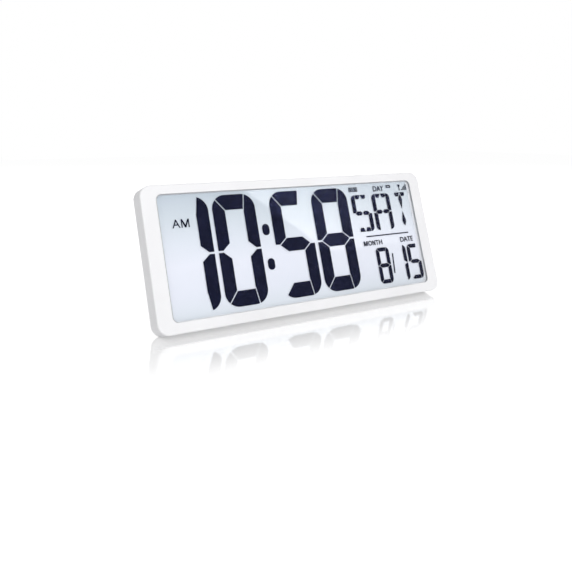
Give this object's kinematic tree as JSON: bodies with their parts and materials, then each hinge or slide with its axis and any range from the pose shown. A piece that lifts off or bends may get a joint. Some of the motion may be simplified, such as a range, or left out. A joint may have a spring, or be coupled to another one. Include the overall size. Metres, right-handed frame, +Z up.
{
  "type": "calendar clock",
  "caption": "Wide white-framed clock with large dark segment digits behind a clear window, rear battery bay and buttons, hanging holes and a fold-out stand.",
  "frame": {"origin": "on the surface it stands on, centred under the clock's box, as it leans back on its open stand", "axes": "+X along the clock's width to the right of the display, +Y from the display towards the back, +Z up"},
  "size_m": [0.365, 0.068, 0.1463],
  "materials": {
    "white_abs": "fine satin moulded ABS",
    "clear_acrylic": "polished clear acrylic",
    "polariser": "clear polarising film",
    "display_glass": "polished float glass",
    "liquid_crystal": "dark switched liquid crystal",
    "edge_sealant": "cured epoxy",
    "reflector": "pearly reflective polariser",
    "holder_abs": "plain moulded ABS",
    "silicone": "layered conductive silicone",
    "circuit_board": "green solder mask",
    "chip_epoxy": "black moulded resin",
    "switch_plungers": "black moulded resin",
    "button_caps": "satin moulded ABS",
    "crystal_can": "drawn nickel silver can",
    "ferrite": "sintered ferrite",
    "copper_winding": "lacquered copper wire",
    "buzzer_case": "black moulded resin",
    "cell_jacket": "plain printed steel can",
    "nickel_strip": "nickel-plated spring steel",
    "zinc_screws": "zinc-plated steel"
  },
  "bodies": {
    "clock": {"front_frame": "white_abs", "rear_cover": "white_abs", "window_lens": "clear_acrylic", "front_polariser": "polariser", "lcd_front_glass": "display_glass", "lcd_rear_glass": "display_glass", "time_digits": "liquid_crystal", "day_letters": "liquid_crystal", "date_digits": "liquid_crystal", "divider_line": "liquid_crystal", "lcd_edge_seal": "edge_sealant", "lcd_reflector": "reflector", "lcd_holder": "holder_abs", "elastomer_strips": "silicone", "main_board": "circuit_board", "controller_chip": "chip_epoxy", "key_switches": "chip_epoxy", "capacitors": "chip_epoxy", "quartz_crystal": "crystal_can", "ferrite_rod": "ferrite", "antenna_coil": "copper_winding", "buzzer": "buzzer_case", "battery_cells": "cell_jacket", "battery_contacts": "nickel_strip", "battery_springs": "nickel_strip", "case_screws": "zinc_screws", "holder_screws": "zinc_screws", "board_screws": "zinc_screws", "stand_pin": "zinc_screws"},
    "stand": {"stand_leg": "white_abs"},
    "battery_door": {"battery_door": "white_abs"},
    "mode_button": {"mode_button": "button_caps", "mode_plunger": "switch_plungers"},
    "alarm_button": {"alarm_button": "button_caps", "alarm_plunger": "switch_plungers"},
    "up_button": {"up_button": "button_caps", "up_plunger": "switch_plungers"},
    "down_button": {"down_button": "button_caps", "down_plunger": "switch_plungers"},
    "light_button": {"light_button": "button_caps", "light_plunger": "switch_plungers"}
  },
  "joints": [
    {"name": "stand_hinge", "type": "hinge", "parent": "clock", "child": "stand", "pos_m": [0, 0.01045, 0.06686], "axis": [1, 0, 0], "range_deg": [-32, 0]},
    {"name": "battery_door_hinge", "type": "hinge", "parent": "clock", "child": "battery_door", "pos_m": [0, 0.01671, 0.0815], "axis": [-1, 0, 0], "range_deg": [0, 80]},
    {"name": "mode_press", "type": "slide", "parent": "clock", "child": "mode_button", "axis": [0, -0.9542, 0.299], "range_m": [0, 0.0005], "stiffness_N_per_m": 1200},
    {"name": "alarm_press", "type": "slide", "parent": "clock", "child": "alarm_button", "axis": [0, -0.9542, 0.299], "range_m": [0, 0.0005], "stiffness_N_per_m": 1200},
    {"name": "up_press", "type": "slide", "parent": "clock", "child": "up_button", "axis": [0, -0.9542, 0.299], "range_m": [0, 0.0005], "stiffness_N_per_m": 1200},
    {"name": "down_press", "type": "slide", "parent": "clock", "child": "down_button", "axis": [0, -0.9542, 0.299], "range_m": [0, 0.0005], "stiffness_N_per_m": 1200},
    {"name": "light_press", "type": "slide", "parent": "clock", "child": "light_button", "axis": [0, -0.9542, 0.299], "range_m": [0, 0.0005], "stiffness_N_per_m": 1200}
  ]
}
